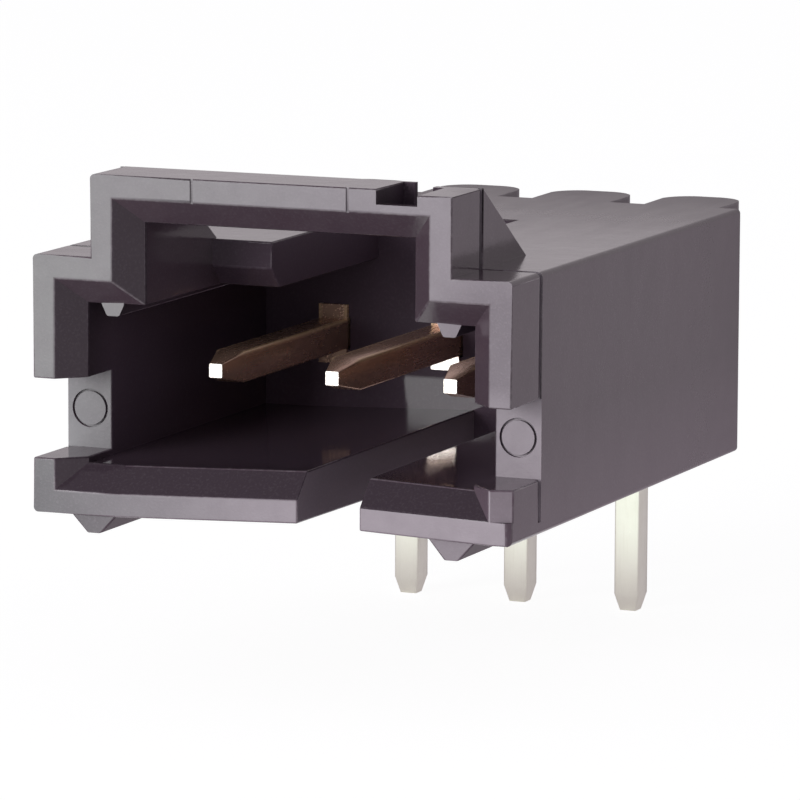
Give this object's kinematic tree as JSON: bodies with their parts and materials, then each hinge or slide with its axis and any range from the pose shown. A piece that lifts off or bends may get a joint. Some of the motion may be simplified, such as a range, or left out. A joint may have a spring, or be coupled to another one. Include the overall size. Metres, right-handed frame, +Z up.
{
  "type": "circuit board header",
  "caption": "Right-angle shrouded pin header: a keyed plastic shroud with a latch bridge over its mouth, and a row of square posts bent down into solder tails.",
  "frame": {"origin": "where the axis of the middle tail meets the top face of the board", "axes": "+Z up from the board, the mouth of the shroud faces -Y, the row of posts runs along X, with the first circuit on the +X side"},
  "size_m": [0.0102, 0.0146, 0.0104],
  "materials": {
    "housing_plastic": "dark grey moulded thermoplastic, satin, with a slightly glossy cavity floor",
    "post_metal": "square drawn wire, gold-coloured on the mating length and tin-coloured on the tail"
  },
  "bodies": {
    "root": {"housing": "housing_plastic", "contact_post_1": "post_metal", "contact_post_2": "post_metal", "contact_post_3": "post_metal"}
  },
  "joints": []
}
